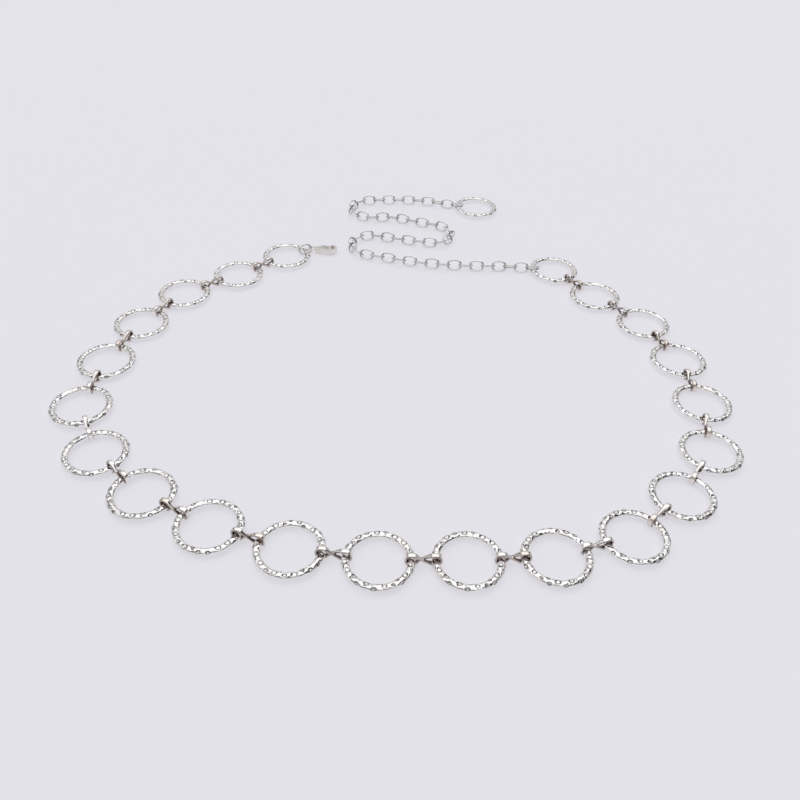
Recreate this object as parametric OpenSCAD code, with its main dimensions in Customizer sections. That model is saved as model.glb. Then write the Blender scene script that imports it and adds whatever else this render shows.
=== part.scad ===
// Waist chain laid out flat: cast rings joined by figure-eight connectors, with a
// lobster clasp on the first ring and a long extension chain on the last one.

/* [Cast rings] */
// Outer diameter of a cast ring
ring_d = 30; // [26:0.5:36]
// Width of the ring's band, from its hole to its rim
band_w = 3.4; // [3:0.1:3.9]
// Thickness of the ring, from its flat back to the crown of its band
band_t = 2.3; // [1.9:0.1:2.4]
// Radius of the band's domed face, across the band
crown_r = 2.1; // [2:0.1:4]
// Chamfer along the two edges of the flat back
back_chamfer = 0.25; // [0.1:0.05:0.4]

/* [Connectors] */
// Gap between the rims of two neighbouring rings
ring_gap = 6.2; // [5.5:0.1:8]
// Thickness of the strip that a connector is bent from
strip_t = 1.1; // [0.8:0.05:1.2]
// Width of that strip
strip_w = 2.2; // [1.2:0.1:2.6]
// Outer height of a connector's loops
loop_h = 5.9; // [5.6:0.1:6.8]
// Outer corner radius of the loops
loop_corner_r = 2; // [1.6:0.1:2.4]
// Height of a connector at its crossed waist
waist_h = 2.5; // [1.8:0.1:3.2]

/* [Extension chain] */
// Outer length of an oval link
link_l = 9.6; // [9.5:0.1:12]
// Outer width of an oval link
link_w = 7.2; // [6.8:0.1:8]
// Diameter of the links' wire
link_wire = 1.1; // [0.9:0.05:1.2]
// Number of links
link_count = 54; // [44:1:60]
// Lean of the links from the flat, one way and the other in turn, in degrees
link_lean = 45; // [40:1:50]
// How far the links of a straight row roll towards the front, in degrees
link_roll = 10; // [0:1:12]

/* [Clasp] */
// Length of the clasp from the end of its eye to the tip of its hook
clasp_l = 19; // [16:0.5:20]
// Width of the clasp across its hook
clasp_w = 8.2; // [8:0.1:9.6]
// Thickness of the clasp's body
clasp_t = 3.4; // [3.1:0.1:4.2]
// Width of the hook's bar
hook_bar = 1.7; // [1.4:0.1:2]
// Radius of the hole in the clasp's eye
eye_hole_r = 1.6; // [1.5:0.05:1.8]
// Wall of the eye
eye_wall = 1; // [0.8:0.05:1.3]
// Thickness of the eye
eye_t = 1; // [0.8:0.1:1.1]
// Length of the lever's thumb tab beyond the body
tab_out = 1.4; // [1:0.1:1.8]
// Thickness of the lever
lever_t = 2; // [1.2:0.1:2.1]
// Diameter of the lever's pin
pin_d = 1.2; // [0.9:0.1:1.4]

/* [Clearances] */
// Gap between a piece and what it hangs on
seat_play = 0.15; // [0.12:0.01:0.25]
// Play between one link of the chain and the next
link_play = 0.3; // [0.25:0.01:0.4]
// Gap on each side of the lever
lever_play = 0.1; // [0.06:0.01:0.15]
// Gap round the pin in its bores
pin_play = 0.04; // [0.03:0.01:0.08]

/* [Hidden] */
$fn = 48;
metal = "gainsboro";
dark_metal = "silver";

// Heading in degrees from each ring to the next, round the waist
ring_headings = [-136, -139, -116, -103, -91, -61, -40, -27, -16, -6,
                 3, 6, 20, 43, 55, 81, 95, 109, 130, 126];

// Heading of the extension chain at a few of its links, as [link, heading in degrees],
// counted from the first link of its first turn; the links between them turn evenly
chain_headings = [[-16, 178], [-12, 184], [-8, 178], [-4, 167], [-1, 168],
                  [4, 18], [5, -13], [10, -7], [15, 149], [16, 166], [19, 161],
                  [21, 189], [22, 188], [27, 38], [28, 11], [32, 3], [35, -13], [37, -6]];

// Heading from the first ring to the clasp's link, its lean, and the clasp's own heading
clasp_link_heading = 35;
clasp_link_lean = 60;
clasp_heading = 5;

// Hammered dimples of the casting, the same on every ring. Columns: angle in degrees,
// place across the band (0 at the hole, 1 at the rim), radius as a share of the band's
// width, depth as a share of the band's thickness
dimples = [
    [-10, 0.42, 0.36, 0.16], [-21, 0.98, 0.22, 0.14], [-34, 0.46, 0.40, 0.17], [-47, 0.98, 0.24, 0.15],
    [-51, 0.30, 0.22, 0.11], [-62, 0.66, 0.20, 0.11], [-77, 0.55, 0.30, 0.14], [-88, 0.12, 0.24, 0.12],
    [-94, 0.90, 0.26, 0.15], [-108, 0.34, 0.38, 0.16], [-123, 0.85, 0.22, 0.13], [-135, 0.30, 0.38, 0.16],
    [-153, 0.50, 0.38, 0.16], [-171, 0.56, 0.36, 0.16], [171, 0.90, 0.22, 0.13], [156, 0.80, 0.24, 0.13],
    [144, 0.35, 0.26, 0.12], [129, 0.62, 0.40, 0.17], [113, 0.66, 0.28, 0.13], [95, 0.50, 0.34, 0.15],
    [80, 0.72, 0.26, 0.13], [62, 0.45, 0.40, 0.17], [41, 0.50, 0.40, 0.17], [20, 0.60, 0.26, 0.13], [6, 0.92, 0.24, 0.13]
];

// How far the casting is turned from each ring to the next, apart from the front pair
casting_step = 47;
front_pair = [10, 11];

ring_count = len(ring_headings) + 1;
ring_r = ring_d / 2;
hole_r = ring_r - band_w;
ring_pitch = ring_d + ring_gap;

link_straight = (link_l - link_w) / 2;
link_arc_r = (link_w - link_wire) / 2;
link_pitch = link_l - 2 * link_wire - link_play;
// The first and last links of the chain lean without a roll, and the next few roll in
roll_in = 4;
// Distance from a ring's centre to the centre of the link on its band
link_seat = ring_r - band_w / 2 + seat_play;

// The rings lie on the wires and strips that pass under them
ring_z = max(strip_t, link_wire) + seat_play;

hole_corner_r = loop_corner_r - strip_t;
// How far a loop reaches past the rim of its ring into the gap, in strip thicknesses
loop_past_rim = 1.2;
// A connector's loop, from its end inside the ring to its end in the gap
loop_end = ring_gap / 2 + band_w + seat_play + strip_t;
loop_start = ring_gap / 2 - seat_play - loop_past_rim * strip_t;
neck_half = loop_start + strip_t;

eye_r = eye_hole_r + eye_wall;
eye_z = clasp_t - eye_t;
// Distance from the first ring's centre to the eye's, which clears the ring's rim
eye_seat = ring_r + 2 * seat_play + eye_r;

// The clasp lies along X from its eye, with the lever on its +Y side
hook_r = clasp_w / 2;
hook_x = clasp_l - eye_r - hook_r;
hook_hole_r = hook_r - hook_bar;
// The barrel's radius and its distance behind the hook, as shares of the clasp's width
barrel_r = 0.43 * clasp_w;
barrel_x = hook_x - 0.55 * clasp_w;
// The neck starts within the eye's wall
neck_x = eye_hole_r + eye_wall / 2;
neck_half_w = 1.3 * eye_wall;
// The pin sits off the clasp's middle line, ahead of the barrel's centre
pivot = [barrel_x + 0.06 * clasp_w, 0.15 * clasp_w];
boss_wall = 0.75;
pivot_boss_r = pin_d / 2 + boss_wall;
lever_in_r = hook_hole_r + lever_play;
lever_out_r = hook_r - lever_play;
// Angles about the hook's centre: the lever's root, the two edges of the gate that it
// closes, and its tip
lever_root = 160;
gate_from = 30;
gate_edge = 140;
lever_tip = 76;
// The lever's free end is cut round the pin, this many degrees beyond its tip
tip_overcut = 12;
tab_from = 118;
tab_to = 134;
lever_reach = norm([hook_x + (hook_r - hook_bar / 2) * cos(lever_tip), (hook_r - hook_bar / 2) * sin(lever_tip)] - pivot);
slot_r = norm([hook_x + hook_hole_r * cos(gate_edge), hook_hole_r * sin(gate_edge)] - pivot) + 2 * lever_play;
slot_t = lever_t + 2 * lever_play;

function unit(a) = [cos(a), sin(a)];

// Centres of the rings, each one pitch from the last along its heading; the first is at the origin
ring_walk = [for (i = 0, p = [0, 0]; i < ring_count;
    p = i < ring_count - 1 ? p + ring_pitch * unit(ring_headings[i]) : p, i = i + 1) p];

// The chain's first row runs towards the clasp and turns back before it
row_room = ring_walk[ring_count - 1].x - eye_seat * cos(clasp_link_heading) - clasp_l + eye_r - link_seat;
first_row = 2 * floor((row_room - link_w) / link_pitch / 2);

function link_heading(k) = lookup(k - first_row, chain_headings);
function roll_at(k) = link_roll * cos(link_heading(k)) * min(1, k / roll_in, (link_count - 1 - k) / roll_in);
function lean_at(k) = (k % 2 == 0 ? link_lean : -link_lean) + roll_at(k);
// Height of a link's middle: the more upright links rest on the ground and carry the others
function link_z(lean) = link_wire / 2 + link_arc_r * sin(lean);
chain_walk = [for (k = 0, p = ring_walk[ring_count - 1] + link_seat * unit(link_heading(0)); k < link_count;
    p = p + link_pitch / 2 * (unit(link_heading(k)) + unit(link_heading(k + 1))), k = k + 1) p];
end_walk = chain_walk[link_count - 1] + link_seat * unit(link_heading(link_count - 1));

// The origin lies under the middle of the rings' bounding box
ring_xs = [for (p = concat(ring_walk, [end_walk])) p.x];
ring_ys = [for (p = concat(ring_walk, [end_walk])) p.y];
middle = [(min(ring_xs) + max(ring_xs)) / 2, (min(ring_ys) + max(ring_ys)) / 2];
ring_at = [for (p = ring_walk) p - middle];
chain_at = [for (p = chain_walk) p - middle];
end_at = end_walk - middle;
eye_at = ring_at[0] + eye_seat * unit(clasp_link_heading);

function two_digits(i) = str(i < 10 ? "0" : "", i);
function ring_name(i) = str("ring_", two_digits(i + 1));
function connector_name(i) = str("connector_", two_digits(i + 1));
function casting_turn(i) = (i == front_pair[0] || i == front_pair[1]) ? 0 : casting_step * (i + 2);

// A rectangle with rounded corners, from x0 to x1 and centred on the X axis
module rounded_strip(x0, x1, h, r) {
    translate([x0, r - h / 2]) square([x1 - x0, h - 2 * r]);
    translate([x0 + r, -h / 2]) square([x1 - x0 - 2 * r, h]);
    for (x = [x0 + r, x1 - r], y = [r - h / 2, h / 2 - r]) translate([x, y]) circle(r);
}

// Section of a ring's band: flat back with chamfers, domed face
module band_section() {
    intersection() {
        polygon([
            [hole_r + back_chamfer, 0], [ring_r - back_chamfer, 0], [ring_r, back_chamfer],
            [ring_r, band_t], [hole_r, band_t], [hole_r, back_chamfer]
        ]);
        translate([(hole_r + ring_r) / 2, band_t - crown_r]) circle(crown_r);
    }
}

// One dimple: a ball that cuts a cap of radius r and depth d out of the domed face
module dimple(angle, place, r, d) {
    ball_r = (r * r + d * d) / (2 * d);
    off_crown = (place - 0.5) * band_w;
    face_z = band_t - crown_r + sqrt(pow(crown_r, 2) - pow(off_crown, 2));
    rotate(angle) translate([hole_r + place * band_w, 0, face_z + ball_r - d]) sphere(ball_r);
}

module cast_ring(at, turn) {
    color(metal)
    translate([at.x, at.y, ring_z])
    rotate(turn)
    difference() {
        rotate_extrude() band_section();
        for (d = dimples) dimple(d[0], d[1], d[2] * band_w, d[3] * band_t);
    }
}

// Outline of a connector from the side: two loops and the waist where its strip crosses
module connector_outline() {
    difference() {
        union() {
            for (side = [0, 1]) mirror([side, 0]) rounded_strip(loop_start, loop_end, loop_h, loop_corner_r);
            difference() {
                square([2 * neck_half, loop_h - loop_corner_r], center = true);
                for (side = [-1, 1]) translate([0, side * (waist_h / 2 + neck_half)]) circle(neck_half);
            }
        }
        for (side = [0, 1]) mirror([side, 0])
            rounded_strip(loop_start + strip_t, loop_end - strip_t, loop_h - 2 * strip_t, hole_corner_r);
    }
}

// Stands an outline drawn in X and Y on its edge, along the X axis
module stand_up(width, height) {
    translate([0, width / 2, height / 2]) rotate([90, 0, 0]) linear_extrude(width) children();
}

module connector(i) {
    mid = (ring_at[i] + ring_at[i + 1]) / 2;
    color(dark_metal)
    translate([mid.x, mid.y, 0])
    rotate(ring_headings[i])
    stand_up(strip_w, loop_h) connector_outline();
}

// An oval link of round wire that leans at an angle
module link(at, z, heading, lean) {
    translate([at.x, at.y, z])
    rotate(heading)
    rotate([lean, 0, 0]) {
        for (side = [0, 1]) mirror([side, 0, 0])
            translate([link_straight, 0, 0]) rotate(-90) rotate_extrude(angle = 180)
                translate([link_arc_r, 0]) circle(d = link_wire);
        for (side = [-1, 1]) translate([-link_straight, side * link_arc_r, 0])
            rotate([0, 90, 0]) cylinder(d = link_wire, h = 2 * link_straight);
    }
}

module extension_chain() {
    color(metal)
    for (k = [0 : link_count - 1])
        link(chain_at[k], link_z(link_lean + abs(roll_at(k))), link_heading(k), lean_at(k));
}

// The link that holds the clasp's eye on the first ring
module clasp_link() {
    color(metal)
    link(
        ring_at[0] + link_seat * unit(clasp_link_heading),
        link_z(clasp_link_lean), clasp_link_heading, clasp_link_lean
    );
}

// A wedge of the plane about the hook's centre, out to radius r
module wedge(from, to, r) {
    reach = 1.5 * r;
    translate([hook_x, 0]) intersection() {
        circle(r);
        polygon([[0, 0], reach * unit(from), reach * unit((from + to) / 2), reach * unit(to)]);
    }
}

module place_clasp() {
    translate([eye_at.x, eye_at.y, 0]) rotate(clasp_heading) children();
}

// Outline of the clasp's body: tapering neck, round barrel, arm and hook
module clasp_outline() {
    difference() {
        union() {
            translate([barrel_x, 0]) circle(barrel_r);
            translate([hook_x, 0]) circle(hook_r);
            polygon([
                [neck_x, -neck_half_w], [barrel_x, -barrel_r], [hook_x, -hook_r], [hook_x, 0],
                [barrel_x, barrel_r], [neck_x, neck_half_w]
            ]);
        }
        translate([hook_x, 0]) circle(hook_hole_r);
        intersection() {
            wedge(gate_from, gate_edge, 2 * hook_r);
            translate(pivot) circle(lever_reach + lever_play);
        }
    }
}

module clasp_body() {
    color(metal)
    place_clasp()
    difference() {
        union() {
            linear_extrude(clasp_t) clasp_outline();
            translate([0, 0, eye_z]) cylinder(r = eye_r, h = eye_t);
        }
        translate([0, 0, -1]) cylinder(r = eye_hole_r, h = clasp_t + 2);
        translate([pivot.x, pivot.y, (clasp_t - slot_t) / 2]) cylinder(r = slot_r, h = slot_t);
        translate([pivot.x, pivot.y, -1]) cylinder(r = pin_d / 2 + pin_play, h = clasp_t + 2);
    }
}

module clasp_lever() {
    color(dark_metal)
    place_clasp()
    translate([0, 0, (clasp_t - lever_t) / 2])
    difference() {
        linear_extrude(lever_t) {
            translate(pivot) circle(pivot_boss_r);
            intersection() {
                difference() {
                    wedge(lever_tip - tip_overcut, lever_root, lever_out_r);
                    translate([hook_x, 0]) circle(lever_in_r);
                }
                translate(pivot) circle(lever_reach);
            }
            difference() {
                wedge(tab_from, tab_to, lever_out_r + tab_out);
                translate([hook_x, 0]) circle(lever_in_r);
            }
        }
        translate([pivot.x, pivot.y, -1]) cylinder(r = pin_d / 2 + pin_play, h = lever_t + 2);
    }
}

module clasp_pin() {
    color(dark_metal)
    place_clasp()
    translate([pivot.x, pivot.y, 0]) cylinder(d = pin_d, h = clasp_t);
}

for (i = [0 : ring_count - 1]) cast_ring(ring_at[i], casting_turn(i));
for (i = [0 : ring_count - 2]) connector(i);
extension_chain();
cast_ring(end_at, casting_turn(ring_count));  // end_ring
clasp_link();
clasp_body();
clasp_lever();
clasp_pin();
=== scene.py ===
"""Waist chain of hammered cast rings, laid out flat on a pale table.

The rings, connectors, links and clasp are modelled over the frame's solids, each from the
same sizes, and finished in polished silver-coloured plating.
"""
import math

import bpy
import numpy as np
from mathutils import Matrix, Vector
from mathutils.bvhtree import BVHTree


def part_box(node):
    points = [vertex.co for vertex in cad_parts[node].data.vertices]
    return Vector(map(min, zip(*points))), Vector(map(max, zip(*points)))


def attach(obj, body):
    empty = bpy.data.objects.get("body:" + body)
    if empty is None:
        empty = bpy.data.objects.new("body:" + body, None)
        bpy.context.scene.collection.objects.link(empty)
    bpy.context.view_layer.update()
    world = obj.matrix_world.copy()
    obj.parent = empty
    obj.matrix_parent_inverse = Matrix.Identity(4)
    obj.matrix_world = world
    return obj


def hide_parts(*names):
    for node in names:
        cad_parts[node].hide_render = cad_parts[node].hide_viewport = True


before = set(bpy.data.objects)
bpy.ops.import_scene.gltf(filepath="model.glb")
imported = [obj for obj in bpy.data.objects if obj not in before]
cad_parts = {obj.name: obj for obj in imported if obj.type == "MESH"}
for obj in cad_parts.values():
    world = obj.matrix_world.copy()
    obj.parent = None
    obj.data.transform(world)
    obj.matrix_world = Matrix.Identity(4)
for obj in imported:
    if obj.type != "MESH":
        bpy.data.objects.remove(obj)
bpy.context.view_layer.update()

# Sizes in millimetres, as in the part's source: the cast rings
RING_D = 30.0
BAND_W = 3.4
BAND_T = 2.3
CROWN_R = 2.1
BACK_CHAMFER = 0.25
RING_GAP = 6.2
# The connectors' strip
STRIP_T = 1.1
STRIP_W = 2.2
LOOP_H = 5.9
# The links, and the play that lets them hang in each other and in the rings
LINK_L = 9.6
LINK_W = 7.2
LINK_WIRE = 1.1
LINK_COUNT = 54
LINK_PLAY = 0.3
SEAT_PLAY = 0.15
# How far a connector's loop reaches into its ring, in strip thicknesses past the rim
LOOP_PAST_RIM = 1.2

# Lie of the links in degrees: their lean from one side to the other, the roll that is added in
# the rows, and the number of links at each end over which it comes in
LINK_LEAN = 45.0
LINK_ROLL = 10.0
ROLL_IN = 4
CLASP_LINK_HEADING = 35.0
CLASP_LINK_LEAN = 60.0

RING_R = RING_D / 2
HOLE_R = RING_R - BAND_W
BAND_MID_R = (HOLE_R + RING_R) / 2
LINK_HALF_L = (LINK_L - LINK_WIRE) / 2
LINK_HALF_W = (LINK_W - LINK_WIRE) / 2
LINK_PITCH = LINK_L - 2 * LINK_WIRE - LINK_PLAY
LINK_SEAT = BAND_MID_R + SEAT_PLAY

RINGS = [f"ring_{i:02d}" for i in range(1, 22)]
CONNECTORS = [f"connector_{i:02d}" for i in range(1, 21)]

# Heading of the extension chain, as (link, degrees), counted from the link of its first turn
FIRST_ROW = 16
CHAIN_HEADINGS = [
    (-16, 178), (-12, 184), (-8, 178), (-4, 167), (-1, 168), (4, 18), (5, -13), (10, -7), (15, 149),
    (16, 166), (19, 161), (21, 189), (22, 188), (27, 38), (28, 11), (32, 3), (35, -13), (37, -6),
]

# Hammered dimples: angle in degrees, place across the band from its crown towards the rim and
# radius as shares of the band's width, and depth as a share of its thickness
DIMPLES = [
    (-10, -0.0848, 0.404, 0.208), (-21, 0.5088, 0.278, 0.182), (-34, -0.0424, 0.44, 0.221),
    (-47, 0.5088, 0.296, 0.195), (-51, -0.212, 0.278, 0.143), (-62, 0.1696, 0.26, 0.143),
    (-77, 0.053, 0.35, 0.182), (-88, -0.4028, 0.296, 0.156), (-94, 0.424, 0.314, 0.195),
    (-108, -0.1696, 0.422, 0.208), (-123, 0.371, 0.278, 0.169), (-135, -0.212, 0.422, 0.208),
    (-153, 0.0, 0.422, 0.208), (-171, 0.0636, 0.404, 0.208), (171, 0.424, 0.278, 0.169),
    (156, 0.318, 0.296, 0.169), (144, -0.159, 0.314, 0.156), (129, 0.1272, 0.44, 0.221),
    (113, 0.1696, 0.332, 0.169), (95, 0.0, 0.386, 0.195), (80, 0.2332, 0.314, 0.169),
    (62, -0.053, 0.44, 0.221), (41, 0.0, 0.44, 0.221), (20, 0.106, 0.314, 0.169),
    (6, 0.4452, 0.296, 0.169),
]
# A dimple's length along the band, as a share of its width across it
DIMPLE_LENGTH = 1.12
# Depth, as a share of the band's thickness, at which a dimple is bright again like the crown:
# painted shade, standing for the dark reflections in the dimples, lies on their slopes
BRIGHT_DEPTH = 0.19
# Light marks on the shoulders of the band: angle in degrees, millimetres from the crown
# towards the rim, radius and depth in millimetres
EDGE_MARKS = [
    (13.8 * k + 5 * math.sin(2.7 * k), (2.15 if k % 2 else -2.15) + 0.4 * math.sin(1.9 * k),
     1.0 + 0.25 * math.sin(3.1 * k), 0.12 + 0.05 * math.sin(4.3 * k))
    for k in range(26)
]
# Small pits of the casting: angle in degrees, millimetres from the crown towards the rim, and
# radius in millimetres
PITS = [
    (15.65 * k + 4 * math.sin(5.1 * k), 1.05 * math.sin(2.4 * k), 0.40 + 0.10 * math.sin(3.7 * k))
    for k in range(23)
]
PIT_DEPTH = 0.12
# Where a spot's bowl starts and ends, as shares of its radius
DIMPLE_SLOPE = (0.35, 1.0)
MARK_SLOPE = (0.3, 1.0)
PIT_SLOPE = (0.5, 1.1)
# What the polish takes off a ring, in millimetres
POLISHED_OFF = 0.004
# The rings are one casting, each turned by so many degrees more than the last, but the pair in
# front lies as the photo shows it
CASTING_STEP = 47
FRONT_PAIR = (10, 11)
# Radius of the band's softened edges, and its steps along and around
BAND_EDGE_R = 0.16
BAND_STEPS = (360, 44)

# Shape of a connector's loop and strip: 1 is an ellipse, less is fuller at the corners
LOOP_FULLNESS = 0.75
STRIP_FULLNESS = 0.5
# Degrees that a loop runs to each side of its end, and the radius that eases it into the waist
LOOP_TURN = 118
WAIST_EASE_R = 0.3
# How much narrower the strip is where its strands pass side by side, and how soon it is so
WAIST_NARROWING = 0.48
WAIST_ONSET = 0.7
STRIP_STEPS = (140, 16)

# Shape of a link's oval, in the same way
LINK_FULLNESS = 0.86
LINK_STEPS = (64, 14)
# The step of the oval where the ends of its wire meet, and the share of its thickness left there
WIRE_JOINT = 16
JOINT_THICKNESS = 0.84

# Painted shade is 1 on the inner side of a connector's strip and of a link's wire: its share on
# the strip's edges, on the wire's outer side, and on a link's long sides next to its ends
EDGE_SHADE = 0.6
OUTER_SHADE = 0.6
SIDE_SHADE = 0.45


def unit(degrees):
    return np.array([math.cos(math.radians(degrees)), math.sin(math.radians(degrees))])


def centre_of(node):
    """Middle of a node's box, and the height of its underside, in millimetres."""
    low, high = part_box(node)
    middle = (low + high) / 2 * 1000
    return np.array([middle.x, middle.y]), low.z * 1000


def smoothstep(low, high, x):
    t = np.clip((x - low) / (high - low), 0.0, 1.0)
    return t * t * (3 - 2 * t)


# Mesh helpers: everything is worked out in millimetres and stored in metres

def with_painted_shade(mesh, painted_shade):
    """The mesh with the share of painted shade on each of its points."""
    layer = mesh.attributes.new("recess", "FLOAT", "POINT")
    layer.data.foreach_set("value", painted_shade.astype(np.float32))
    return mesh


def tube_mesh(name, *tubes):
    """Closed tubes of quads as one mesh, from alike pairs of points[along, around, xyz] and painted
    shade.
    """
    along, around = tubes[0][0].shape[:2]
    i = np.arange(along)[:, None]
    j = np.arange(around)[None, :]

    def corner(a, b):
        return (a % along) * around + b % around

    quads = np.stack([corner(i, j), corner(i + 1, j), corner(i + 1, j + 1), corner(i, j + 1)], axis=-1)
    faces = np.vstack([quads.reshape(-1, 4) + k * along * around for k in range(len(tubes))])
    points = np.concatenate([tube.reshape(-1, 3) for tube, _ in tubes])
    mesh = bpy.data.meshes.new(name)
    mesh.from_pydata((points / 1000).tolist(), [], faces.tolist())
    mesh.shade_smooth()
    return with_painted_shade(mesh, np.concatenate([painted_shade.reshape(-1) for _, painted_shade in tubes]))


def add_piece(name, mesh, body, material, slot, *nodes):
    piece = bpy.data.objects.new(name, mesh)
    bpy.context.scene.collection.objects.link(piece)
    piece.data.materials.append(material)
    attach(piece, body)
    if nodes:
        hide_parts(*nodes)
    return piece


def circle(count):
    """Points round a circle of radius 1."""
    turn = np.linspace(0, 2 * math.pi, count, endpoint=False)
    return np.stack([np.cos(turn), np.sin(turn)], axis=1)


def fuller(points, fullness):
    """Points of a circle pushed out into its corners: 1 leaves them, less pushes them further."""
    return np.sign(points) * np.abs(points) ** fullness


def even_loop(outline, count):
    """The closed outline again, as count points spaced evenly along it."""
    closed = np.vstack([outline, outline[:1]])
    steps = np.hypot(*np.diff(closed, axis=0).T)
    travelled = np.concatenate([[0], np.cumsum(steps)])
    wanted = np.linspace(0, travelled[-1], count, endpoint=False)
    return np.stack([np.interp(wanted, travelled, closed[:, k]) for k in range(2)], axis=1)


def soften(outline, radius, count):
    """Rounds the corners of a closed outline, as polishing does."""
    fine = even_loop(outline, 720)
    length = np.hypot(*np.diff(np.vstack([fine, fine[:1]]), axis=0).T).sum()
    half = max(1, round(radius / length * 720))
    window = range(-half, half + 1)
    return even_loop(sum(np.roll(fine, k, axis=0) for k in window) / len(window), count)


def loop_frame(path):
    """Unit tangents and outward normals of a closed path in a plane."""
    tangent = np.roll(path, -1, axis=0) - np.roll(path, 1, axis=0)
    tangent /= np.hypot(*tangent.T)[:, None]
    return tangent, np.stack([tangent[:, 1], -tangent[:, 0]], axis=1)


# Finishes

def new_group(name, inputs, outputs):
    """An empty shader group with named sockets, and its input and output nodes."""
    tree = bpy.data.node_groups.new(name, "ShaderNodeTree")
    kinds = {float: "NodeSocketFloat", tuple: "NodeSocketColor"}
    for label, value in inputs.items():
        kind = kinds[type(value)]
        socket = tree.interface.new_socket(name=label, in_out="INPUT", socket_type=kind)
        socket.default_value = value
    for label, kind in outputs.items():
        tree.interface.new_socket(name=label, in_out="OUTPUT", socket_type=kinds[kind])
    return tree, tree.nodes.new("NodeGroupInput"), tree.nodes.new("NodeGroupOutput")


def add_node(tree, kind, settings=None, **inputs):
    """A node with its settings, and its inputs as values or as links."""
    node = tree.nodes.new(kind)
    for key, value in (settings or {}).items():
        setattr(node, key, value)
    for key, value in inputs.items():
        by_number = key[1:].isdigit()
        socket = node.inputs[int(key[1:]) if by_number else key.replace("_", " ")]
        if isinstance(value, bpy.types.NodeSocket):
            tree.links.new(value, socket)
        else:
            socket.default_value = value
    return node


def make_handling_marks():
    """Fine rubbed scratches and a slow unevenness in the polish."""
    tree, given, result = new_group(
        "handling_marks", {"Grain": 900.0, "Unevenness": 120.0}, {"Height": float, "Haze": float}
    )
    place = add_node(tree, "ShaderNodeTexCoord").outputs["Object"]
    stretched = add_node(
        tree, "ShaderNodeMapping", _0=place, Scale=(1.0, 0.16, 1.0), Rotation=(0.3, 0.2, 0.7)
    )
    grain = add_node(
        tree, "ShaderNodeTexNoise", Vector=stretched.outputs[0], Scale=given.outputs["Grain"],
        Detail=4.0,
    )
    slow = add_node(
        tree, "ShaderNodeTexNoise", Vector=place, Scale=given.outputs["Unevenness"], Detail=3.0
    )
    height = add_node(
        tree, "ShaderNodeMath", {"operation": "MULTIPLY_ADD"}, _0=slow.outputs[0], _1=2.0,
        _2=grain.outputs[0],
    )
    haze = add_node(
        tree, "ShaderNodeMapRange", {"interpolation_type": "SMOOTHSTEP"}, Value=slow.outputs[0],
        From_Min=0.35, From_Max=0.75,
    )
    tree.links.new(height.outputs[0], result.inputs["Height"])
    tree.links.new(haze.outputs[0], result.inputs["Haze"])
    return tree


def make_plating_tone():
    """The plating's colour: two tones in soft patches, and painted shade where each point's share
    marks it.
    """
    tree, given, result = new_group(
        "plating_tone",
        {
            "Bright": (0.9, 0.9, 0.9, 1.0), "Warm": (0.8, 0.76, 0.7, 1.0),
            "Grime": (0.1, 0.08, 0.07, 1.0), "Patches": 90.0, "Recess": 0.0, "Grime amount": 0.5,
        },
        {"Color": tuple},
    )
    place = add_node(tree, "ShaderNodeTexCoord").outputs["Object"]
    patches = add_node(
        tree, "ShaderNodeTexNoise", Vector=place, Scale=given.outputs["Patches"], Detail=2.0
    )
    share = add_node(
        tree, "ShaderNodeMapRange", {"interpolation_type": "SMOOTHSTEP"}, Value=patches.outputs[0],
        From_Min=0.4, From_Max=0.68,
    )
    toned = add_node(
        tree, "ShaderNodeMix", {"data_type": "RGBA"}, _0=share.outputs[0],
        _6=given.outputs["Bright"], _7=given.outputs["Warm"],
    )
    # Painted shade: the shade colour mixed in by each point's share of it
    shade_mix = add_node(
        tree, "ShaderNodeMath", {"operation": "MULTIPLY"}, _0=given.outputs["Recess"],
        _1=given.outputs["Grime amount"],
    )
    mixed = add_node(
        tree, "ShaderNodeMix", {"data_type": "RGBA"}, _0=shade_mix.outputs[0], _6=toned.outputs[2],
        _7=given.outputs["Grime"],
    )
    tree.links.new(mixed.outputs[2], result.inputs["Color"])
    return tree


def make_hammer_marks():
    """Small bowls side by side, as light hammering leaves them between the deep dimples."""
    tree, given, result = new_group("hammer_marks", {"Marks": 600.0}, {"Height": float})
    place = add_node(tree, "ShaderNodeTexCoord").outputs["Object"]
    wander = add_node(tree, "ShaderNodeTexNoise", Vector=place, Scale=450.0, Detail=1.0)
    drift = add_node(
        tree, "ShaderNodeVectorMath", {"operation": "SCALE"}, _0=wander.outputs["Color"],
        Scale=0.0007,
    )
    drifted = add_node(
        tree, "ShaderNodeVectorMath", {"operation": "ADD"}, _0=place, _1=drift.outputs[0]
    )
    bowls = add_node(
        tree, "ShaderNodeTexVoronoi", Vector=drifted.outputs[0], Scale=given.outputs["Marks"]
    )
    height = add_node(
        tree, "ShaderNodeMath", {"operation": "POWER"}, _0=bowls.outputs["Distance"], _1=2.0
    )
    tree.links.new(height.outputs[0], result.inputs["Height"])
    return tree


HANDLING_MARKS = make_handling_marks()
PLATING_TONE = make_plating_tone()
HAMMER_MARKS = make_hammer_marks()


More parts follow.
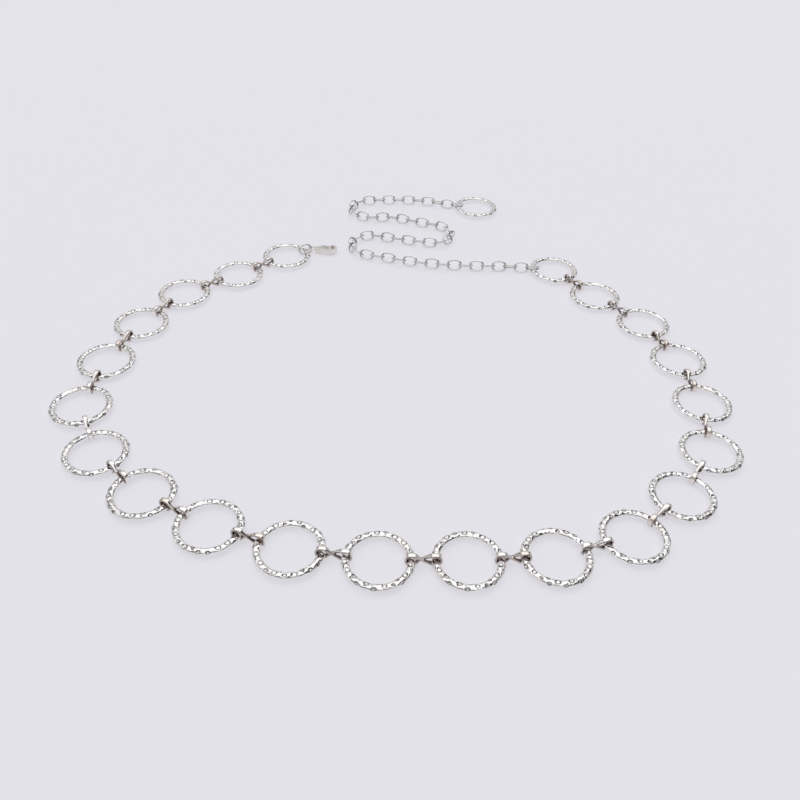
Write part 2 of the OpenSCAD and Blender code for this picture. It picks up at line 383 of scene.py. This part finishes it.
def plated(name, bright, warm, painted_shade, grime_amount, rough_from, rough_to, relief, hammering=0.0):
    """Polished plating over a casting or wire, with reliefs in millimetres."""
    material = bpy.data.materials.new(name)
    material.use_nodes = True
    tree = material.node_tree
    shader = tree.nodes["Principled BSDF"]
    shader.inputs["Metallic"].default_value = 1.0
    # Each point's share of painted shade, set where shade and dark reflections fall
    recess = add_node(tree, "ShaderNodeAttribute", {"attribute_name": "recess"})
    tone = add_node(
        tree, "ShaderNodeGroup", {"node_tree": PLATING_TONE}, Bright=bright, Warm=warm, Grime=painted_shade,
        Recess=recess.outputs["Fac"], Grime_amount=grime_amount,
    )
    marks = add_node(tree, "ShaderNodeGroup", {"node_tree": HANDLING_MARKS})
    rough = add_node(
        tree, "ShaderNodeMapRange", Value=marks.outputs["Haze"], To_Min=rough_from, To_Max=rough_to
    )
    bump = add_node(
        tree, "ShaderNodeBump", Strength=1.0, Distance=relief / 1000, Height=marks.outputs["Height"]
    )
    if hammering:
        beaten = add_node(tree, "ShaderNodeGroup", {"node_tree": HAMMER_MARKS})
        bowls = add_node(
            tree, "ShaderNodeBump", Strength=1.0, Distance=hammering / 1000,
            Height=beaten.outputs["Height"],
        )
        tree.links.new(bowls.outputs[0], bump.inputs["Normal"])
    tree.links.new(tone.outputs["Color"], shader.inputs["Base Color"])
    tree.links.new(rough.outputs[0], shader.inputs["Roughness"])
    tree.links.new(bump.outputs[0], shader.inputs["Normal"])
    return material


# The third colour of each plating is its painted shade
CAST_SILVER = plated(
    "cast_silver_plating", (0.93, 0.92, 0.92, 1), (0.89, 0.87, 0.85, 1), (0.06, 0.05, 0.05, 1),
    grime_amount=0.92, rough_from=0.05, rough_to=0.12, relief=0.012, hammering=0.15,
)
STRIP_SILVER = plated(
    "strip_silver_plating", (0.92, 0.90, 0.88, 1), (0.80, 0.72, 0.65, 1), (0.14, 0.08, 0.06, 1),
    grime_amount=0.85, rough_from=0.06, rough_to=0.15, relief=0.012,
)
WIRE_SILVER = plated(
    "wire_silver_plating", (0.96, 0.96, 0.96, 1), (0.88, 0.86, 0.84, 1), (0.06, 0.06, 0.06, 1),
    grime_amount=0.9, rough_from=0.07, rough_to=0.16, relief=0.008,
)
CLASP_SILVER = plated(
    "clasp_silver_plating", (0.86, 0.83, 0.80, 1), (0.76, 0.72, 0.67, 1), (0.05, 0.045, 0.04, 1),
    grime_amount=0.9, rough_from=0.06, rough_to=0.16, relief=0.02,
)


# Cast rings

def band_outline():
    """Section of the band as (radius, height), from the inner edge of the back round to the hole."""
    crown_z = BAND_T - CROWN_R
    crown = np.linspace(RING_R, HOLE_R, 60)
    dome = np.stack([crown, crown_z + np.sqrt(CROWN_R**2 - (crown - BAND_MID_R) ** 2)], axis=1)
    back = [
        (HOLE_R, BACK_CHAMFER), (HOLE_R + BACK_CHAMFER, 0),
        (RING_R - BACK_CHAMFER, 0), (RING_R, BACK_CHAMFER),
    ]
    return np.vstack([back, dome])


def bowl(slope, angles, across, angle, place, radius, length=1.0):
    """How deep each point of the band lies in a round spot pressed into it: 1 in its middle."""
    along = (np.mod(angles - math.radians(angle) + math.pi, 2 * math.pi) - math.pi) * BAND_MID_R
    span = np.hypot(along[:, None] / (length * radius), (across[None, :] - place) / radius)
    return 1 - smoothstep(*slope, span)


def cast_ring(node, turn):
    """A ring's band swept round, with its dimples pressed into the dome."""
    (cx, cy), underside = centre_of(node)
    steps_along, steps_around = BAND_STEPS
    section = soften(band_outline(), BAND_EDGE_R, steps_around)
    _, outward = loop_frame(section)
    crown = np.argmax(section[:, 1])
    steps = np.hypot(*(np.roll(section, -1, axis=0) - section).T)
    across = np.concatenate([[0], np.cumsum(steps)[:-1]])
    across = across[crown] - across
    angles = np.radians(np.arange(steps_along) * 360 / steps_along)
    depth = np.zeros((steps_along, steps_around))
    for angle, place, radius, deep in DIMPLES:
        pressed = bowl(
            DIMPLE_SLOPE, angles, across, angle, place * BAND_W, radius * BAND_W, DIMPLE_LENGTH
        )
        depth = np.maximum(depth, pressed * deep * BAND_T)
    # Painted shade on the dimples' slopes, none at their bottoms, stands for the dark reflections
    # there
    share = np.clip(depth / (BRIGHT_DEPTH * BAND_T), 0, 1)
    slopes = (4 * share * (1 - share)) ** 2
    for angle, place, radius, deep in EDGE_MARKS:
        depth = np.maximum(depth, bowl(MARK_SLOPE, angles, across, angle, place, radius) * deep)
    pitted = np.zeros_like(depth)
    for angle, place, radius in PITS:
        pitted = np.maximum(pitted, bowl(PIT_SLOPE, angles, across, angle, place, radius))
    depth = depth + PIT_DEPTH * pitted + POLISHED_OFF
    radial = section[None, :, 0] - outward[None, :, 0] * depth
    height = section[None, :, 1] - outward[None, :, 1] * depth
    spin = angles[:, None] + math.radians(turn)
    points = np.stack(
        [cx + radial * np.cos(spin), cy + radial * np.sin(spin), underside + height], axis=-1
    )
    # The painted shade goes out with the points: on the dimples' slopes and in the pits
    return points, np.maximum(slopes, pitted)


def casting_turn(index):
    return 0 if index in FRONT_PAIR else CASTING_STEP * (index + 2)


for index, node in enumerate(RINGS + ["end_ring"]):
    name = node + "_casting"
    casting = tube_mesh(name, cast_ring(node, casting_turn(index)))
    add_piece(name, casting, "chain", CAST_SILVER, "cast_silver", node)


# Connectors

def figure_eight(count):
    """Middle line of the strip seen from the side, and how far each point is off the middle plane.

    The line runs round one loop, down across the waist, round the other loop and back across.
    """
    loop_start = RING_GAP / 2 - SEAT_PLAY - LOOP_PAST_RIM * STRIP_T
    loop_end = RING_GAP / 2 + BAND_W + SEAT_PLAY + STRIP_T
    half_l = (loop_end - loop_start - STRIP_T) / 2
    half_h = (LOOP_H - STRIP_T) / 2
    swing = np.radians(np.linspace(-LOOP_TURN, LOOP_TURN, 60))
    swung = np.stack([np.cos(swing), np.sin(swing)], axis=1)
    loop = fuller(swung, LOOP_FULLNESS) * (half_l, half_h) + ((loop_start + loop_end) / 2, 0)
    outline = np.vstack([loop, -loop[-1:], (loop * (-1, 1))[1:], loop[-1:] * (1, -1)])
    path = soften(outline, WAIST_EASE_R, count)
    strand_l = 2 * np.hypot(*loop[-1])
    loop_l = np.hypot(*np.diff(loop, axis=0).T).sum()
    along = np.arange(count) / count * 2
    waist = np.clip((along % 1 * (loop_l + strand_l) - loop_l) / strand_l, 0, 1)
    return path, np.sin(waist * math.pi) ** WAIST_ONSET * np.where(along < 1, 1, -1)


def connector(start, end):
    """A strip bent into a figure eight that stands between two rings, its strands side by side."""
    steps_along, steps_around = STRIP_STEPS
    path, shift = figure_eight(steps_along)
    _, outward = loop_frame(path)
    section = fuller(circle(steps_around), STRIP_FULLNESS)
    half_w = STRIP_W / 2 * (1 - WAIST_NARROWING * np.abs(shift))
    side = shift[:, None] * STRIP_W / 4 + half_w[:, None] * section[None, :, 0]
    out = section[None, :, 1] * STRIP_T / 2
    x = path[:, 0, None] + out * outward[:, 0, None]
    z = LOOP_H / 2 + path[:, 1, None] + out * outward[:, 1, None]
    middle = (start + end) / 2
    ahead = (end - start) / np.hypot(*(end - start))
    points = np.stack(
        [middle[0] + x * ahead[0] - side * ahead[1], middle[1] + x * ahead[1] + side * ahead[0], z],
        axis=-1,
    )
    # Painted shade on the strip's inner side and along its edges
    inner = smoothstep(0.2, 0.9, -section[None, :, 1] * np.sign(path[:, 0, None]))
    edges = EDGE_SHADE * smoothstep(0.7, 1.0, np.abs(section[None, :, 0]))
    return points, np.maximum(inner, edges)


ring_centres = [centre_of(node)[0] for node in RINGS]
for node, start, end in zip(CONNECTORS, ring_centres, ring_centres[1:]):
    name = node + "_strip"
    strip = tube_mesh(name, connector(start, end))
    add_piece(name, strip, "chain", STRIP_SILVER, "connector_silver", node)


# Links

def oval_link(at, heading, lean, rest_lean):
    """An oval of wire that leans, at the height of one that rests at rest_lean."""
    steps_along, steps_around = LINK_STEPS
    path = fuller(circle(steps_along), LINK_FULLNESS) * (LINK_HALF_L, LINK_HALF_W)
    _, outward = loop_frame(path)
    wire = circle(steps_around)
    thick = np.full(steps_along, LINK_WIRE / 2)
    thick[WIRE_JOINT] *= JOINT_THICKNESS
    out = thick[:, None] * wire[:, 0]
    up = thick[:, None] * wire[:, 1]
    x = path[:, 0, None] + out * outward[:, 0, None]
    aside = path[:, 1, None] + out * outward[:, 1, None]
    tilt = math.radians(lean)
    rest_h = LINK_WIRE / 2 + LINK_HALF_W * math.sin(math.radians(rest_lean))
    y = aside * math.cos(tilt) - up * math.sin(tilt)
    z = aside * math.sin(tilt) + up * math.cos(tilt) + rest_h
    ahead = unit(heading)
    points = np.stack(
        [at[0] + x * ahead[0] - y * ahead[1], at[1] + x * ahead[1] + y * ahead[0], z], axis=-1
    )
    # Painted shade on the wire's inner side and, less, its outer side, strongest at the ends where
    # neighbouring links pass
    inner = smoothstep(0.0, 0.9, -wire[:, 0])
    outer = OUTER_SHADE * smoothstep(0.6, 1.0, wire[:, 0])
    end = smoothstep(0.55, 0.85, np.abs(path[:, 0, None]) / LINK_HALF_L)
    return points, np.maximum(inner, outer)[None, :] * (SIDE_SHADE + (1 - SIDE_SHADE) * end)


def link_heading(k):
    links, headings = zip(*CHAIN_HEADINGS)
    return float(np.interp(k - FIRST_ROW, links, headings))


def chain_links():
    """The extension's links in turn from the last ring, leaning one way and the other."""
    at = ring_centres[-1] + LINK_SEAT * unit(link_heading(0))
    links = []
    for k in range(LINK_COUNT):
        share = min(1, k / ROLL_IN, (LINK_COUNT - 1 - k) / ROLL_IN)
        roll = LINK_ROLL * unit(link_heading(k))[0] * share
        lean = LINK_LEAN if k % 2 == 0 else -LINK_LEAN
        links.append(oval_link(at, link_heading(k), lean + roll, LINK_LEAN + abs(roll)))
        at = at + LINK_PITCH / 2 * (unit(link_heading(k)) + unit(link_heading(k + 1)))
    return links


clasp_link_at = ring_centres[0] + LINK_SEAT * unit(CLASP_LINK_HEADING)
clasp_link = oval_link(clasp_link_at, CLASP_LINK_HEADING, CLASP_LINK_LEAN, CLASP_LINK_LEAN)
extension_mesh = tube_mesh("extension_links", *chain_links())
clasp_link_mesh = tube_mesh("clasp_link_wire", clasp_link)
add_piece("extension_links", extension_mesh, "chain", WIRE_SILVER, "chain_silver", "extension_chain")
add_piece("clasp_link_wire", clasp_link_mesh, "chain", WIRE_SILVER, "chain_silver", "clasp_link")


# Clasp

def tumbled(node, name, voxel, passes):
    """The node's solid with its edges rounded in this many passes, as polishing does.

    The voxel's size is in millimetres.
    """
    piece = bpy.data.objects.new(name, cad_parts[node].data.copy())
    bpy.context.scene.collection.objects.link(piece)
    piece.data.materials.clear()
    weld = piece.modifiers.new("weld", "WELD")
    weld.merge_threshold = 0.000002
    remesh = piece.modifiers.new("remesh", "REMESH")
    remesh.mode = "VOXEL"
    remesh.voxel_size = voxel / 1000
    remesh.use_smooth_shade = True
    smooth = piece.modifiers.new("smooth", "SMOOTH")
    smooth.iterations = passes
    smooth.factor = 0.5
    depsgraph = bpy.context.evaluated_depsgraph_get()
    mesh = bpy.data.meshes.new_from_object(piece.evaluated_get(depsgraph))
    bpy.data.objects.remove(piece)
    mesh.name = name
    mesh.shade_smooth()
    return mesh


def with_seam_shade(mesh, others, reach):
    """The mesh with painted shade where it comes close to the other pieces, within reach millimetres.
    """
    trees = []
    for other in others:
        corners = [vertex.co for vertex in other.vertices]
        trees.append(BVHTree.FromPolygons(corners, [polygon.vertices for polygon in other.polygons]))
    near = [
        min(tree.find_nearest(vertex.co)[3] for tree in trees) * 1000 for vertex in mesh.vertices
    ]
    return with_painted_shade(mesh, 1 - smoothstep(0.4 * reach, reach, np.array(near)))


clasp_mesh = tumbled("clasp_body", "clasp_casting", voxel=0.12, passes=34)
lever_mesh = tumbled("clasp_lever", "lever_casting", voxel=0.07, passes=24)
pin_mesh = tumbled("clasp_pin", "lever_rivet", voxel=0.06, passes=5)
# Painted shade in the seams where the clasp's pieces come close
with_seam_shade(clasp_mesh, [lever_mesh, pin_mesh], reach=0.5)
with_seam_shade(lever_mesh, [clasp_mesh], reach=0.45)
with_seam_shade(pin_mesh, [clasp_mesh], reach=0.12)
add_piece("clasp_casting", clasp_mesh, "chain", CLASP_SILVER, "clasp_silver", "clasp_body")
add_piece("lever_casting", lever_mesh, "lever", CLASP_SILVER, "clasp_silver", "clasp_lever")
add_piece("lever_rivet", pin_mesh, "chain", CLASP_SILVER, "clasp_silver", "clasp_pin")


# Table, light and camera

def pale_table():
    """A wide pale sheet, lit a little from beneath, with a very slight unevenness."""
    half = 3.0
    sunk = 0.00005
    corners = [(-half, -half, 0), (half, -half, 0), (half, half, 0), (-half, half, 0)]
    mesh = bpy.data.meshes.new("table")
    mesh.from_pydata(corners, [], [(0, 1, 2, 3)])
    table = bpy.data.objects.new("table", mesh)
    table.location.z = -sunk
    bpy.context.scene.collection.objects.link(table)
    material = bpy.data.materials.new("pale_paper")
    material.use_nodes = True
    tree = material.node_tree
    shader = tree.nodes["Principled BSDF"]
    shader.inputs["Specular IOR Level"].default_value = 0.1
    shader.inputs["Roughness"].default_value = 0.9
    shader.inputs["Emission Strength"].default_value = 0.485
    place = add_node(tree, "ShaderNodeTexCoord").outputs["Object"]
    cloud = add_node(tree, "ShaderNodeTexNoise", Vector=place, Scale=6.0, Detail=2.0)
    tone = add_node(
        tree, "ShaderNodeMix", {"data_type": "RGBA"}, _0=cloud.outputs[0],
        _6=(0.420, 0.416, 0.445, 1), _7=(0.424, 0.419, 0.447, 1),
    )
    tree.links.new(tone.outputs[2], shader.inputs["Base Color"])
    shader.inputs["Emission Color"].default_value = (0.975, 0.965, 1.02, 1)
    mesh.materials.append(material)


# The light tent's brightness low down and high up, and the heights in degrees between which it
# changes
TENT_LOW = 0.62
TENT_HIGH = 1.06
TENT_CHANGE = (24, 56)
# Panels of the light tent, in degrees: direction (0 right, 90 behind, -90 at the camera), height,
# half width, half height and how soft the edge is, then the brightness
PANELS = [
    (90, 59, 80, 13, 8, 1.30),
    (-90, 42, 75, 12, 8, 0.22),
    (-90, 12, 60, 12, 8, 0.50),
    (-5, 19, 34, 13, 8, 0.45),
    (0, 44, 33, 13, 6, 0.02),
    (48, 14, 5, 16, 4, 0.08),
    (132, 14, 5, 16, 4, 0.10),
    (152, 42, 9, 14, 4, 0.2),
]


def soft_tent():
    """A white light tent of panels: brightest high behind, with dark seams and a dark side."""
    world = bpy.data.worlds.new("light_tent")
    bpy.context.scene.world = world
    world.use_nodes = True
    tree = world.node_tree

    def ramp(value, start, end, low, high):
        return add_node(
            tree, "ShaderNodeMapRange", {"interpolation_type": "SMOOTHSTEP"}, Value=value,
            From_Min=start, From_Max=end, To_Min=low, To_Max=high,
        ).outputs[0]

    def math_of(operation, first, second):
        return add_node(
            tree, "ShaderNodeMath", {"operation": operation}, _0=first, _1=second
        ).outputs[0]

    def within(angle, half, soft):
        """1 where the angle is less than half degrees either way, with a soft edge."""
        off = add_node(tree, "ShaderNodeMath", {"operation": "ABSOLUTE"}, _0=angle).outputs[0]
        return ramp(off, math.radians(half - soft / 2), math.radians(half + soft / 2), 1.0, 0.0)

    ray = add_node(tree, "ShaderNodeTexCoord").outputs["Generated"]
    parts = add_node(tree, "ShaderNodeSeparateXYZ", Vector=ray).outputs
    height = add_node(tree, "ShaderNodeMath", {"operation": "ARCSINE"}, _0=parts["Z"]).outputs[0]
    around = math_of("ARCTAN2", parts["Y"], parts["X"])
    level = ramp(height, *map(math.radians, TENT_CHANGE), TENT_LOW, TENT_HIGH)
    for direction, middle, half_w, half_h, soft, brightness in PANELS:
        turned = math_of("SUBTRACT", around, math.radians(direction))
        wrapped = add_node(
            tree, "ShaderNodeMath", {"operation": "WRAP"}, _0=turned, _1=math.pi, _2=-math.pi
        ).outputs[0]
        raised = math_of("SUBTRACT", height, math.radians(middle))
        inside = math_of(
            "MULTIPLY", within(wrapped, half_w, soft), within(raised, half_h, soft)
        )
        level = add_node(
            tree, "ShaderNodeMix", {"data_type": "FLOAT"}, _0=inside, _2=level, _3=brightness
        ).outputs[0]
    background = tree.nodes["Background"]
    background.inputs["Color"].default_value = (1.0, 0.995, 1.0, 1)
    tree.links.new(level, background.inputs["Strength"])


def camera():
    """The photograph's camera: its target on the table, height, distance and slight roll."""
    target = Vector((0.000502, -0.056908, 0.0))
    elevation = math.radians(39.97)
    roll = math.radians(2.527)
    distance = 0.3859
    ahead = Vector((0, math.cos(elevation), -math.sin(elevation)))
    right = Vector((1, 0, 0))
    up = right.cross(ahead)
    across = right * math.cos(roll) + up * math.sin(roll)
    upward = up * math.cos(roll) - right * math.sin(roll)
    data = bpy.data.cameras.new("camera")
    data.sensor_width = 36
    data.lens = 34.43
    data.clip_start = 0.01
    view = bpy.data.objects.new("camera", data)
    turn = Matrix((across, upward, -ahead)).transposed().to_4x4()
    view.matrix_world = Matrix.Translation(target - ahead * distance) @ turn
    bpy.context.scene.collection.objects.link(view)
    bpy.context.scene.camera = view


pale_table()
soft_tent()
camera()
bpy.context.scene.view_settings.view_transform = "Standard"
